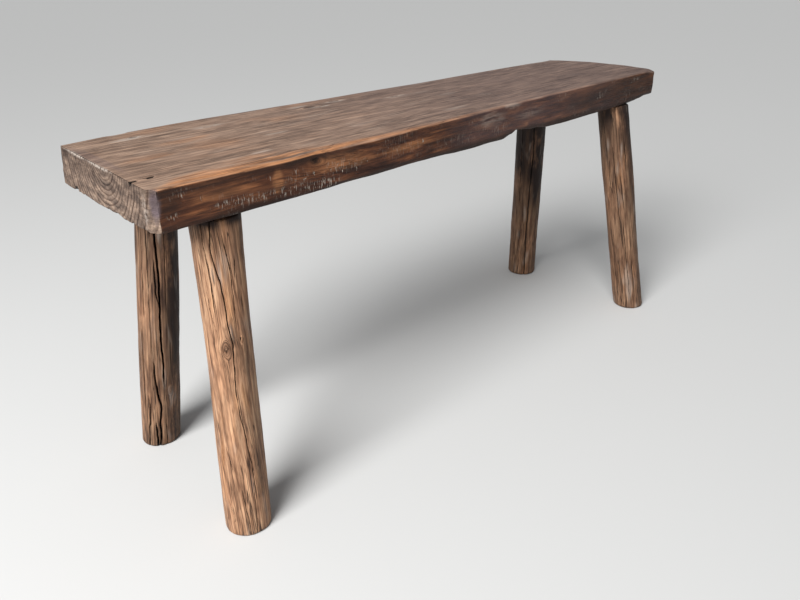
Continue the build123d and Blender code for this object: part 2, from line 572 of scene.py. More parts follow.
# The size of the chip that is off the left front corner, and how far the right front corner stands
# out, how round it is, and the shares of the length and the width that it starts and stops at
CHIP_X = 10
CHIP_Y = 17
RIGHT_CORNER_OUT = 7.5
RIGHT_CORNER_RADIUS = 12
RIGHT_CORNER_FROM = 0.93
RIGHT_CORNER_ACROSS = 0.26

# Marks in mm, by what they are. On the top: X and Y, reach along and across the seat, strength
TOP_MARKS = {
    "dust_and_highlight": [
        (-420, 108, 34, 7, 0.8), (-318, 97, 30, 7, 0.6), (-162, 111, 22, 6, 0.8),
        (-138, 88, 26, 5, 0.8), (-97, 103, 24, 8, 0.7), (-7, 64, 30, 7, 0.6),
        (-274, 0, 26, 5, 0.5), (-340, -64, 18, 5, 0.5), (-5, -62, 30, 8, 0.4),
    ],
    "grime_and_shade": [
        (-372, 98, 42, 6, 0.5), (431, -3, 60, 5, 0.6), (288, -37, 70, 5, 0.5),
        (190, 10, 80, 4, 0.35),
    ],
    "wear": [
        (-375, 53, 45, 14, 0.3), (-445, 6, 40, 16, 0.28), (-372, -80, 60, 14, 0.4),
    ],
}
# On the front: X and Z, reach along and up, strength
FRONT_MARKS = {
    "dust_and_highlight": [
        (28, 446, 42, 15, 0.35),
    ],
    "filler": [
        (-482, 428, 9, 5, 0.8), (-408, 427, 34, 8, 0.8), (-345, 424, 45, 8, 1.0),
        (-290, 420, 30, 8, 0.9), (-256, 437, 40, 12, 0.45), (-170, 440, 60, 14, 0.28),
        (-50, 430, 80, 12, 0.2),
    ],
    "grime_and_shade": [
        (-484, 446, 15, 17, 0.6), (-297, 449, 8, 3.5, 0.95), (-142, 454, 8, 3, 0.6),
    ],
    "wear": [
        (-265, 447, 45, 9, 0.4), (-352, 438, 9, 17, 0.55), (-420, 440, 50, 7, 0.2),
        (-250, 438, 60, 7, 0.35), (-150, 440, 60, 6, 0.4),
    ],
}
# On the ends and corners: what it is, its middle, its reach along X, Y and Z, and its strength
OTHER_MARKS = [
    ("shaded_crack", (-499, -64, 459), (8, 5, 6), 1.0),
    ("shaded_crack", (-479, -63, 460), (8, 4, 5), 1.0),
    ("shaded_crack", (-424, 144, 459), (16, 5, 4), 0.35),
    ("shaded_crack", (-504, 98, 414), (8, 8, 7), 1.0),
    ("shaded_crack", (-499, -86, 415), (8, 3, 9), 0.8),
    ("shaded_crack", (-297, -110, 451.5), (8, 9, 3), 0.5),
    ("dust_and_highlight", (77, -107, 459), (26, 9, 6), 0.4),
    ("dust_and_highlight", (120, -108, 440), (50, 9, 12), 0.2),
    # Painted highlight along the left end's top edge, partly a pale worn edge
    ("dust_and_highlight", (-499, 95, 460), (3.5, 50, 4), 1.0),
    ("dust_and_highlight", (-501, 25, 460), (3.5, 50, 4), 1.0),
    ("dust_and_highlight", (-503, -96, 436), (5, 5, 22), 0.5),
    ("filler", (312, -104, 436), (10, 9, 6), 0.8),
    ("filler", (430, -104, 452), (14, 9, 6), 0.9),
    ("grime_and_shade", (385, -103, 436), (230, 12, 34), 0.6),
    ("grime_and_shade", (169, -110, 427), (20, 9, 5), 0.9),
    ("grime_and_shade", (-503, 34, 449), (6, 14, 9), 0.7),
    ("grime_and_shade", (-503, 84, 448), (6, 12, 7), 0.5),
    ("grime_and_shade", (-503, -12, 442), (6, 12, 8), 0.5),
    ("grime_and_shade", (-503, -40, 431), (6, 8, 7), 0.5),
    ("weathered", (-492, 50, 460), (9, 95, 6), 0.3),
    ("weathered", (-498, -108, 444), (8, 8, 22), 0.95),
    ("wear", (110, -110, 424), (12, 9, 7), 0.5),
]

# The Z of the marks on the top, the Y of the marks on the front, and how deep both reach, in mm
MARK_TOP = 460
MARK_FRONT = -112
MARK_DEPTH = 9

# Small chisel nicks on the front face: X, Z and height in mm
NICKS = [
    (-364, 444, 7), (-327, 442, 8), (-315, 432, 6), (-288, 428, 8), (-241, 429, 10),
    (-300, 436, 5), (-262, 431, 7), (-470, 446, 9), (-447, 441, 6), (-222, 437, 6),
    (312, 436, 5), (423, 453, 5), (436, 438, 4), (414, 447, 4), (-185, 445, 5),
    (-120, 441, 6),
]

# How pale a nick is, against 1 for the palest tick, and how far it leans to the left going up
NICK_STRENGTH = 2.5
NICK_LEAN = 0.2

# Knots: middle and radius in mm
PLANK_KNOTS = [
    ((-297, -112, 449), 6),
    ((-141, -112, 454), 4),
    ((-150, 98, 460), 7),
    ((-95, 108, 460), 5),
    ((-7, 64, 460), 5),
    ((-318, 97, 460), 5),
    ((-415, 112, 460), 5),
]


def line_crossing(one, other):
    """Where two straight lines in plan cross, each given by two points."""
    sides = np.column_stack([one[1] - one[0], other[0] - other[1]])
    return one[0] + np.linalg.solve(sides, other[0] - one[0])[0] * (one[1] - one[0])


def plank_sides():
    """The plank's outline in plan as four lines: front and back by X, left and right by Y."""
    points = node_points("seat_plank")
    rim = points[np.abs(points[:, 2] - (SEAT_TOP - 4 * MM)) < 0.3 * MM][:, :2]
    rim = np.unique(rim.round(5), axis=0)
    unit = (rim - (PLANK_LOW[:2] + PLANK_HIGH[:2]) / 2) / (PLANK_HIGH[:2] - PLANK_LOW[:2])
    order = np.argsort(np.arctan2(unit[:, 1], unit[:, 0]))
    rim, unit = rim[order], unit[order]
    corner = {(sx, sy): int(np.argmax(unit @ (sx, sy))) for sx in (-1, 1) for sy in (-1, 1)}

    def run(start, end, by):
        """The outline from one corner round to another, sorted by X or by Y."""
        count = (corner[end] - corner[start]) % len(rim)
        line = rim[(corner[start] + np.arange(count + 1)) % len(rim)]
        for sharp, within in SHARP_WITHIN.items():
            line = line[np.linalg.norm(line - rim[corner[sharp]], axis=1) > within * MM]
        return line[np.argsort(line[:, by])]

    front, back = run((-1, -1), (1, -1), 0), run((1, 1), (-1, 1), 0)
    left, right = run((-1, 1), (-1, -1), 1), run((1, -1), (1, 1), 1)
    left = left[[0, -1]]
    left_front = line_crossing(left, front[:2])
    left_back = line_crossing(left, back[:2])
    right_front = line_crossing(right[:2], front[-2:])
    return {
        "front": np.concatenate([[left_front], front, [right_front]]),
        "back": np.concatenate([[left_back], back]),
        "left": np.array([left_front, left_back]),
        "right": np.concatenate([[right_front], right]),
    }


def plank_plan(sides, u, v):
    """The place in plan of each share u of the length and v of the width: a Coons patch."""

    def line(side, share, by):
        points = sides[side]
        place = points[0, by] + (points[-1, by] - points[0, by]) * share
        other = np.interp(place, points[:, by], points[:, 1 - by])
        return np.stack([place, other] if by == 0 else [other, place], axis=1)

    front, back = line("front", u, 0), line("back", u, 0)
    left, right = line("left", v, 1), line("right", v, 1)
    front[:, 1] += eased((front[:, 0] - PLANK_LOW[0]) / MM, *FRONT_WAVE) * MM
    u, v = u[:, None], v[:, None]
    corners = (
        (1 - u) * (1 - v) * sides["front"][0]
        + u * (1 - v) * sides["front"][-1]
        + (1 - u) * v * sides["back"][0]
        + u * v * sides["back"][-1]
    )
    plan = (1 - v) * front + v * back + (1 - u) * left + u * right - corners
    out = smooth(RIGHT_CORNER_ACROSS, 0, v[:, 0]) * smooth(RIGHT_CORNER_FROM, 1, u[:, 0])
    plan[:, 0] += RIGHT_CORNER_OUT * out * MM
    return plan


def trim_corners(plan, sides, height):
    """Takes the chip off the left front corner, and rounds the right front one."""
    across = math.hypot(CHIP_X, CHIP_Y)
    outward = -np.array((CHIP_Y, CHIP_X)) / across
    past = (plan - sides["front"][0]) @ outward + CHIP_X * CHIP_Y / across * MM
    rough = np.stack([height * 0, height * 0, height], axis=1)
    past += noise(rough, (1, 1, 17), 17, octaves=2) * 0.8 * MM
    plan = plan - np.maximum(past, 0)[:, None] * outward

    radius = RIGHT_CORNER_RADIUS * MM
    centre = sides["front"][-1] + (RIGHT_CORNER_OUT * MM - radius, radius)
    offset = plan - centre
    in_corner = (offset[:, 0] > 0) & (offset[:, 1] < 0)
    shrink = np.minimum(1, radius / np.maximum(np.linalg.norm(offset, axis=1), 1e-9))
    return np.where(in_corner[:, None], centre + offset * shrink[:, None], plan)


def arris_radius(u, v, side, upper):
    """How round the plank's edges are, in metres, by the nearest side: left, right, front, back."""
    from_left = u * PLANK_LENGTH
    low_front, low_back = eased(from_left, *LOW_FRONT_ARRIS), eased(from_left, *LOW_BACK_ARRIS)
    low = np.where(side == 3, low_back, low_front)
    radius = np.where(upper, eased(from_left, *TOP_ARRIS), low)
    radius = np.where(side == 0, np.where(upper, *LEFT_ARRIS), radius)
    right_top = RIGHT_ARRIS[0] + RIGHT_CORNER_WEAR * smooth(RIGHT_CORNER_WORN, 0, v)
    return np.where(side == 1, np.where(upper, right_top, RIGHT_ARRIS[1]), radius) * MM


def round_edges(u, v, w, size):
    """Moves the shares of points near an edge inwards, so that the edge is a quarter round."""
    length, width, thickness = size
    sides = np.stack([u * length, (1 - u) * length, v * width, (1 - v) * width])
    side = np.argmin(sides, axis=0)
    level = sides.min(axis=0)
    upper = w > 0.5
    depth = np.where(upper, 1 - w, w) * thickness
    radius = arris_radius(u, v, side, upper)
    to_level = np.maximum(level, radius)
    to_depth = np.maximum(depth, radius)
    gap = np.maximum(np.hypot(level - to_level, depth - to_depth), 1e-9)
    level = to_level + radius * (level - to_level) / gap
    depth = to_depth + radius * (depth - to_depth) / gap
    u = np.select([side == 0, side == 1], [level / length, 1 - level / length], u)
    v = np.select([side == 2, side == 3], [level / width, 1 - level / width], v)
    w = np.where(upper, 1 - depth / thickness, depth / thickness)
    return u, v, w


def box_shell(cells):
    """The surface points of a block of cells, as whole numbers along its sides, and its faces."""
    counts = np.array(cells) + 1
    i, j, k = np.meshgrid(*[np.arange(count) for count in counts], indexing="ij")
    outside = (i % cells[0] == 0) | (j % cells[1] == 0) | (k % cells[2] == 0)
    index = np.full(counts, -1)
    index[outside] = np.arange(outside.sum())
    quads = [
        grid_quads(index[:, :, -1]),
        grid_quads(index[:, :, 0], flip=True),
        grid_quads(index[:, 0, :]),
        grid_quads(index[:, -1, :], flip=True),
        grid_quads(index[-1, :, :]),
        grid_quads(index[0, :, :], flip=True),
    ]
    return i[outside], j[outside], k[outside], np.concatenate(quads)


def plank_relief(points, normals):
    """How far each point stands out, in mm, from hewing, weather and wear."""
    right, back, up = np.maximum(normals, 0).T ** 2
    left, front, under = np.maximum(-normals, 0).T ** 2
    mouths = np.ones(len(points))
    for axis in AXES.values():
        mouth = axis.foot + axis.up * (UNDERSIDE - axis.foot[2]) / axis.up[2]
        distance = np.linalg.norm(points[:, :2] - mouth[:2], axis=1)
        mouths = np.minimum(mouths, smooth(24 * MM, 45 * MM, distance))
    hewn = noise(points, (110, 90, 60), 1) * 0.9 + noise(points, (60, 45, 18), 2) * 0.7
    hewn += noise(points, (36, 30, 7), 3, octaves=3) * 0.5
    worn = noise(points, (260, 60, 90), 4) * 0.6 + noise(points, (140, 13, 40), 5) * 0.35
    worn += noise(points, (60, 6, 40), 6, octaves=2) * 0.18
    split = noise(points, (40, 24, 15), 7) * 0.7 + noise(points, (20, 7, 6), 8, octaves=2) * 0.45
    rough = noise(points, (90, 40, 40), 10) * 1.3 + noise(points, (35, 12, 40), 11, octaves=2) * 0.6
    sides = (front + 1.3 * back) * hewn
    return up * worn + sides + under * rough * mouths + (left + 0.7 * right) * split


def plank_marks():
    """What each mark on the plank is, its middle, its reach and its strength."""
    for kind, marks in TOP_MARKS.items():
        for x, y, along, across, strength in marks:
            yield kind, (x, y, MARK_TOP), (along, across, MARK_DEPTH), strength
    for kind, marks in FRONT_MARKS.items():
        for x, z, along, up, strength in marks:
            yield kind, (x, MARK_FRONT, z), (along, MARK_DEPTH, up), strength
    yield from OTHER_MARKS


def mark_share(points, middle, reach, strength):
    """How much of a mark each point gets, with a ragged edge."""
    distance = np.linalg.norm((points / MM - middle) / reach, axis=1)
    near = distance < 1.6
    share = np.zeros(len(points))
    ragged = 0.3 * noise(points[near], np.array(reach) * 0.6, 51, octaves=2)
    share[near] = smooth(1.05, 0.45, distance[near] + ragged)
    return share * strength


def plank_ageing(points, normals, v):
    """The masks that wear, dirt and damage paint on the plank, with its painted shade and painted
    highlights.
    """
    x, _, z = (points / MM).T
    from_left = (points[:, 0] - PLANK_LOW[0]) / MM
    below_top = SEAT_TOP / MM - z
    above_bottom = z - UNDERSIDE / MM
    up = smooth(0.45, 0.8, normals[:, 2])
    front = smooth(0.45, 0.8, -normals[:, 1])
    left, right = (smooth(0.55, 0.75, s * normals[:, 0]) for s in (-1, 1))

    ragged = noise(points, (70, 9, 30), 21, octaves=2)
    edge = smooth(1.05, 0.2, v * MEAN_WIDTH / eased(from_left, *RUBBED_REACH) + 0.4 * ragged)
    patchy = smooth(0.1, 0.6, noise(points, (120, 40, 60), 22, octaves=2))
    patchy = patchy * up * smooth(700, 150, from_left)
    wear = edge * eased(from_left, *RUBBED) * up + 0.25 * patchy

    # Painted shade in a band under the overhanging top front edge, broken up by noise
    band_noise = noise(points, (70, 40, 14), 23, octaves=2)
    under_arris_shade = smooth(2.2, 3.2, below_top) * smooth(16, 7, below_top) * front
    under_arris_shade = under_arris_shade * eased(from_left, *UNDER_EDGE_SHADE) * (0.8 + 0.5 * band_noise)
    # Painted shade in a band along the front's bottom edge, where it rounds under
    low_rim_shade = smooth(11, 2, above_bottom) * front
    grey = smooth(400, 500, from_left) * smooth(930, 800, from_left)
    underneath = smooth(0.3, 0.8, -normals[:, 2]) * 0.35
    stains = noise(points, (20, 22, 8), 26, octaves=3)
    end_top = left * smooth(30, 8, below_top + 6 * stains) * (0.3 + 0.9 * stains)
    end_top += left * smooth(0.05, 0.12, points[:, 1]) * 0.22
    # The top a little darker towards the far end
    far_end_darkening = up * smooth(200, 900, from_left) * 0.08
    streaks = up * smooth(0.3, 0.55, noise(points, (160, 7, 60), 24, octaves=2)) * 0.12
    # Painted shade under the top edge and along the bottom, darker underneath and towards the far end
    # of the top, stains on the left end, and streaks of dirt on top
    grime_and_shade = 0.85 * (under_arris_shade + low_rim_shade) + underneath + end_top + far_end_darkening + streaks
    masks = {
        "face_up": up * (1 - left) * (1 - right),
        "end_grain": np.maximum(left, right),
        "wear": wear,
        "grime_and_shade": grime_and_shade,
        "dust_and_highlight": 0.25 * up * smooth(0.25, 0.6, noise(points, (80, 18, 40), 27, octaves=2)),
        "filler": 0.25 * front * smooth(0.1, 0.5, noise(points, (40, 30, 16), 25)),
        "shaded_crack": np.zeros(len(points)),
        "weathered": up * smooth(50, 750, from_left) * 0.42 + 0.3 * front * grey,
    }
    for kind, middle, reach, strength in plank_marks():
        masks[kind] = np.maximum(masks[kind], mark_share(points, middle, reach, strength))
    for nick_x, nick_z, height in NICKS:
        above = z - nick_z
        apart = np.hypot((x - nick_x + NICK_LEAN * above) / 1.3, above / height * 2)
        nick = NICK_STRENGTH * front * smooth(1.4, 0.6, apart)
        masks["filler"] = np.maximum(masks["filler"], nick)
    most = {"filler": NICK_STRENGTH}
    return {name: np.clip(values, 0, most.get(name, 1)) for name, values in masks.items()}


def plank_grain(points):
    """Grain coordinates of the plank, sawn just below the log's heart, and what is knot."""
    pith = np.array((0, PITH_Y * MM, SEAT_TOP + PITH_ABOVE_TOP * MM))
    grain = points - pith
    along = points * (1, 0, 0)
    bow = np.stack([noise(along, (330, 1, 1), 31) * 9, noise(along, (280, 1, 1), 32) * 7], axis=1)
    grain[:, 1:] += bow * MM
    inside = np.zeros(len(points))
    for middle, radius in PLANK_KNOTS:
        nearest = np.argmin(np.linalg.norm(points - np.array(middle) * MM, axis=1))
        share = bend_grain(grain, points, grain[nearest].copy(), radius * MM)
        inside = np.maximum(inside, share)
    return grain, inside


def mortise_cutter(axis):
    """A round bar that cuts a leg's blind mortise, a hair wider and deeper than its tenon."""
    start = (UNDERSIDE - axis.foot[2]) / axis.up[2] - TENON_ROOT
    end = axis.tip + MORTISE_SPARE
    bpy.ops.mesh.primitive_cylinder_add(
        vertices=MORTISE_FACETS, radius=axis.tenon_radius + MORTISE_CLEARANCE, depth=end - start
    )
    cutter = bpy.context.object
    cutter.rotation_mode = "QUATERNION"
    cutter.rotation_quaternion = Vector(axis.up).to_track_quat("Z", "Y")
    cutter.location = axis.foot + axis.up * (start + end) / 2
    return cutter


def wear_edges(points, v, w, size):
    """Flares the left end, wears the top front edge down and hews the bottom edges."""
    from_left = (points[:, 0] - PLANK_LOW[0]) / MM
    from_front = v * size[1] / MM
    flare = eased(points[:, 1] / MM, *END_FLARE) * smooth(FLARE_REACH, 0, from_left) * (1 - w)
    points[:, 0] -= flare * MM
    into_worn = np.clip(1 - from_front / eased(from_left, *WORN_REACH), 0, 1)
    worn = eased(from_left, *WORN_DROP) * into_worn**2
    hewn = eased(from_left, *LOW_EDGE) * smooth(22, 4, from_front)
    bites = np.maximum(noise(points * (1, 1, 0), (40, 9, 1), 12, octaves=2), 0)
    nibbled = bites * smooth(14, 3, from_left)
    low = (1 - w) * hewn + smooth(0.15, 0, w) * 4 * nibbled
    points[:, 2] = UNDERSIDE + w * size[2] + (low - w * worn) * MM


def make_plank(material):
    """The seat plank: its outline from the CAD model, then worn edges, hewing, marks and holes."""
    i, j, k, quads = box_shell(PLANK_CELLS)
    u = spread(PLANK_CELLS[0], closer=0.6, near=0.02, far=0.02, lean=0.3)[i]
    v = spread(PLANK_CELLS[1], closer=0.75, near=0.07, far=0.07)[j]
    w = spread(PLANK_CELLS[2], closer=0.4, near=0.1, far=0.1)[k]
    size = PLANK_HIGH - PLANK_LOW
    u, v, w = round_edges(u, v, w, size)
    sides = plank_sides()
    points = np.empty((len(u), 3))
    points[:, :2] = trim_corners(plank_plan(sides, u, v), sides, w * size[2])
    wear_edges(points, v, w, size)

    normals = point_normals(points, quads)
    masks = plank_ageing(points, normals, v)
    masks["grain"], knots = plank_grain(points)
    masks["grime_and_shade"] = np.maximum(masks["grime_and_shade"], 0.5 * smooth(0.1, 0.6, knots))
    relief = plank_relief(points, normals)
    ticks = np.minimum(masks["filler"], 1) * smooth(0.45, 0.8, -normals[:, 1])
    relief -= 2.6 * masks["shaded_crack"] + 0.7 * ticks
    points = points + normals * (relief * MM)[:, None]
    plank = make_piece("plank_with_worn_edges", points, quads.tolist(), masks, material)
    for axis in AXES.values():
        carve(plank, mortise_cutter(axis))
    return plank


# ==== Pole legs ====

# The pole's points round it and up its shaft, its rounded rims, and the height of its shoulder
POLE_COLUMNS = 440
POLE_ROWS = 180
FOOT_ARRIS = 4 * MM
SHOULDER_ARRIS = 2 * MM
SHOULDER = UNDERSIDE - 4 * MM

# The deepest that a check can cut, in mm
DEEPEST_CHECK = 14

# The tenon's chamfered tip, its kerf, and the share of the tip's radius that has the first ring
TIP_CHAMFER = 1.5 * MM
TIP_RIM = 0.92
KERF_CLEARANCE = 0.1 * MM
KERF_DEPTH = 27 * MM

# How far the pith is off the pole's axis, in mm
PITH_OFFSET = (8, -6)

# A drying check is its (percent of the way down, degrees round the pole) points, half its width
# and its depth. A pole's marks are measured in degrees round it from its face, which is an angle from
# +X. A knot is (percent down, degrees round, radius). A pole's girth is how far its surface stands
# out by the share of the way down, and its shades are how dark it is all over, how dark the painted
# shadow of the seat is near the top, and how dark the painted shade is on the side that faces away
# from the light
Pole = namedtuple("Pole", "face twist girth checks knots shade top_shade side_shade")
LEFT_BACK = Pole(
    face=-112,
    twist=5,
    girth=((0, 0.5, 1), (0, 0.3, 0)),
    checks=[
        ([(0, -7), (17, -9.4), (23, -7), (28, -3), (36, 0), (48, 0.2),
          (56, 1.1), (61, 4.5), (67, 6.9), (76, 7.9)], 1.5, 12),
        ([(24, -12), (32, -12), (38, -9), (44, -1)], 0.9, 6),
        ([(0, -50), (30, -49), (50, -46)], 0.9, 1.7),
        ([(0, -33), (20, -32), (36, -29)], 0.8, 1.7),
        ([(36, -30), (50, -27), (64, -25)], 0.8, 1.5),
        ([(50, -57), (75, -55), (90, -52)], 0.9, 1.7),
        ([(12, 15), (30, 17), (48, 18)], 0.8, 1.5),
        ([(55, 28), (72, 30)], 0.8, 1.5),
        ([(84, 10), (100, 14)], 0.8, 2),
        ([(0, -22), (20, -22)], 1.3, 6),
        ([(62, -22), (71, -19), (76, -13.3), (80, -7.5), (82, -2.1), (85, -2.8),
          (90, -6.3), (94, -4.5), (100, -6.4)], 1.5, 10),
        ([(77, -44), (83, -36), (90, -36.3), (92, -41.4), (100, -40)], 1.2, 6),
        ([(88, -18.5), (95, -16.3), (100, -12)], 1.5, 8),
        ([(0, 150), (40, 158), (75, 152)], 1.0, 7),
    ],
    knots=[(77, 25, 4)],
    shade=0.45,
    top_shade=0.25,
    side_shade=0.5,
)
LEFT_FRONT = Pole(
    face=-117,
    twist=38,
    girth=((0, 0.12, 0.35, 0.6, 0.9, 1), (1.0, 0.2, -1.0, 0, 1.2, 1.2)),
    checks=[
        ([(0, -15), (9, -19.4), (14, -13), (17, -5.7), (26, -0.1), (31, 1.1),
          (36.4, 8.3), (41, 5.6), (52, 2.4), (56, 4.5)], 0.7, 4),
        ([(52, 3), (58, 5.5), (63, 11.6), (68, 15.3), (74, 20.3), (81, 23.3),
          (90, 25)], 0.65, 2.2),
        ([(0, -35), (6, -34.5), (10, -32.7), (16.5, -27), (23, -27.4),
          (30, -25)], 0.65, 3),
        ([(2, 4), (5, 8.7), (9, 14.7), (15.7, 20.6), (24, 20.6)], 0.6, 2.5),
        ([(10, 33.5), (18, 29.7)], 0.7, 3),
        ([(17, -42), (25, -40.5), (30.5, -31.7), (35, -22)], 0.6, 2.5),
        ([(18, 21), (25, 21.2), (33, 22)], 0.55, 2.2),
        ([(20, 43), (28, 45)], 0.6, 2.5),
        ([(66, -44), (72, -33), (79, -24)], 0.6, 2.5),
        ([(80, -13), (87.6, -6.4), (93, -1.4), (100, 2)], 0.6, 2),
        ([(85, -50), (93, -37.6), (96, -34)], 0.6, 2.5),
        ([(83, 17), (90, 21), (100, 17)], 0.6, 2),
        ([(34.2, 28.5), (35.7, 28.5)], 1.2, 3),
        ([(34.8, 34.4), (36.3, 34.4)], 1.2, 3),
        ([(36.6, -3.9), (37.8, -3.9)], 0.9, 2),
        ([(37.4, -8.8), (38.6, -8.8)], 0.9, 2),
        ([(37, -14), (38, -14)], 0.8, 2),
        ([(10, 170), (50, 190), (90, 215)], 0.8, 6),
    ],
    knots=[(37.4, -9, 5.5), (35.2, 32, 3), (62, 160, 7)],
    shade=0.0,
    top_shade=0.04,
    side_shade=0.2,
)
RIGHT_BACK = Pole(
    face=-144,
    twist=-6,
    girth=((0, 0.5, 1), (0, -0.3, 0.5)),
    checks=[
        ([(0, 8), (30, 16), (50, 11), (75, 9), (95, 12), (100, 12)], 1.8, 2.2),
        ([(10, -35), (60, -30)], 0.6, 2.5),
        ([(20, 120), (80, 130)], 1.0, 6),
    ],
    knots=[(28, 42, 5)],
    shade=0.42,
    top_shade=0.9,
    side_shade=0.3,
)
RIGHT_FRONT = Pole(
    face=-151,
    twist=8,
    girth=((0, 0.3, 0.6, 1), (-0.4, 0.5, -0.4, 0.4)),
    checks=[
        ([(15, -8), (50, -3), (70, 4)], 0.65, 2.5),
        ([(50, 10), (95, 16)], 0.65, 2.5),
        ([(12, 38), (28, 40)], 1.2, 3),
        ([(2, -38), (30, -34)], 1.2, 1.8),
        ([(60, -40), (95, -34)], 1.4, 1.8),
        ([(70, 34), (97, 38)], 1.2, 1.8),
        ([(30, 14), (50, 18)], 0.9, 1.8),
        ([(0, 140), (45, 150), (70, 148)], 1.0, 7),
    ],
    knots=[(50, -100, 6)],
    shade=0.44,
    top_shade=0.26,
    side_shade=0.15,
)
POLES = {
    "left_back": LEFT_BACK,
    "left_front": LEFT_FRONT,
    "right_back": RIGHT_BACK,
    "right_front": RIGHT_FRONT,
}


def wrapped(degrees):
    """An angle brought to between -180 and 180 degrees."""
    return (degrees + 180) % 360 - 180


def check_cut(line, half_width, down, angle, radius):
    """How deep a check cuts at each point, as a share of its depth."""
    percents, degrees = zip(*line)
    places = [percent / 100 for percent in percents]
    middle = np.interp(down, places, degrees)
    wobble = np.sin(down * 61) * 0.5 + np.sin(down * 143 + 1) * 0.35
    apart = np.abs(np.radians(wrapped(angle - middle - wobble))) * radius / MM
    taper = min(0.06, 0.4 * (places[-1] - places[0]))
    start = smooth(places[0] - 0.001, places[0] + taper, down) if places[0] > 0 else 1.0
    end = smooth(places[-1] + 0.001, places[-1] - taper, down) if places[-1] < 1 else 1.0
    width = half_width * start * end + 1e-6
    return np.clip(1 - (apart / width) ** 1.6, 0, 1) * start * end


def pole_rings():
    """The rings of points of a pole, from the middle of its foot to the middle of its tenon's tip:
    shares of the foot's radius, of the shaft's height, of the step from shaft to tenon, of the
    tenon's length, and of the tip's radius."""
    return {
        "foot": (0.15, 0.4, 0.65, 0.85, 0.96),
        "shaft": spread(POLE_ROWS, closer=0.7, near=0.015, far=0.01),
        "shoulder": (0.3, 0.7, 1.0),
        "tenon": (0.3, 0.65, 1.0),
        "tip": (TIP_RIM, 0.55, 0.2),
    }


def round_pole(axis, pole, height, down, surface):
    """Each point's distance from the axis: girth, lumps, and the rounded foot and shoulder."""
    lumps = noise(surface, (34, 34, 130), 41) * 0.9
    lumps += noise(surface, (11, 11, 190), 42, octaves=2) * 0.55
    lumps += noise(surface, (5, 5, 70), 43, octaves=2) * 0.22 + noise(surface, (25, 25, 18), 44) * 0.25
    rim = axis.radius + eased(down, *pole.girth) * MM + lumps * MM
    foot_gap = np.clip(FOOT_ARRIS - height, 0, None)
    top_gap = np.clip(SHOULDER_ARRIS - (SHOULDER - height), 0, None)
    rim -= FOOT_ARRIS - np.sqrt(FOOT_ARRIS**2 - foot_gap**2)
    rim -= SHOULDER_ARRIS - np.sqrt(SHOULDER_ARRIS**2 - top_gap**2)
    return rim


def cut_checks(axis, pole, rim, down, turn):
    """Cuts the drying checks into the rim, clear of the tenon. Returns how dark each point is painted,
    as shade in the checks.
    """
    shaded_crack = np.zeros(len(rim))
    cut = np.zeros(len(rim))
    for line, half_width, depth in pole.checks:
        share = check_cut(line, half_width, down, turn, axis.radius)
        cut = np.maximum(cut, share * depth)
        # A deeper check is painted darker, as painted shade
        shaded_crack = np.maximum(shaded_crack, smooth(0.02, 0.5, share) * min(1.0, depth / 4))
    room = (rim - axis.tenon_radius) / MM - 1
    cut = np.minimum(cut, np.where(down < 0.1, room, DEEPEST_CHECK))
    rim -= cut * MM
    return shaded_crack


def pole_grain(axis, pole, rim, height, turn, surface):
    """Grain coordinates of a pole, which twist down its length, and what is knot."""
    down = 1 - height / SHOULDER
    grain_turn = np.radians(turn - pole.twist * down)
    grain = np.stack([height, rim * np.cos(grain_turn), rim * np.sin(grain_turn)], axis=1)
    grain[:, 1:] -= np.array(PITH_OFFSET) * MM
    knots = np.zeros(len(rim))
    for knot_down, knot_turn, knot_radius in pole.knots:
        round_it = np.radians(wrapped(turn - knot_turn)) * axis.radius
        nearest = np.argmin(np.hypot((down - knot_down / 100) * SHOULDER, round_it))
        share = bend_grain(grain, surface, grain[nearest].copy(), knot_radius * MM)
        knots = np.maximum(knots, share)
    return grain, knots


def pole_points(axis, kinds, shares, height, rim, spoke):
    """The places of a pole's points. The foot and the shoulder are level cuts, so each column of
    points meets them at its own reach along the axis."""
    tip_radius = axis.tenon_radius - TIP_CHAMFER
    inner = np.where(kinds == "shoulder", rim + (axis.tenon_radius - rim) * shares, rim)
    radius = np.where(kinds == "foot", rim * shares, inner)
    radius = np.where(kinds == "tenon", axis.tenon_radius, radius)
    radius = np.where(kinds == "tip", tip_radius * shares / TIP_RIM, radius)
    level_reach = (height - axis.foot[2] - radius * spoke[:, 2]) / axis.up[2]
    tenon_reach = level_reach + (axis.tip - TIP_CHAMFER - level_reach) * shares
    reach = np.select([kinds == "tenon", kinds == "tip"], [tenon_reach, axis.tip], level_reach)
    points = axis.foot + axis.up * reach[:, None] + spoke * radius[:, None]
    return np.concatenate([points, [axis.foot, axis.foot + axis.up * axis.tip]])


def pole_faces(rings):
    """The faces between a pole's rings of points, and fans round the two middle points."""
    count = rings * POLE_COLUMNS
    index = np.arange(count).reshape(rings, POLE_COLUMNS)
    index = np.concatenate([index, index[:, :1]], axis=1)
    faces = grid_quads(index.T).tolist()
    faces += [[far, near, count] for near, far in pairwise(index[0].tolist())]
    faces += [[near, far, count + 1] for near, far in pairwise(index[-1].tolist())]
    return faces


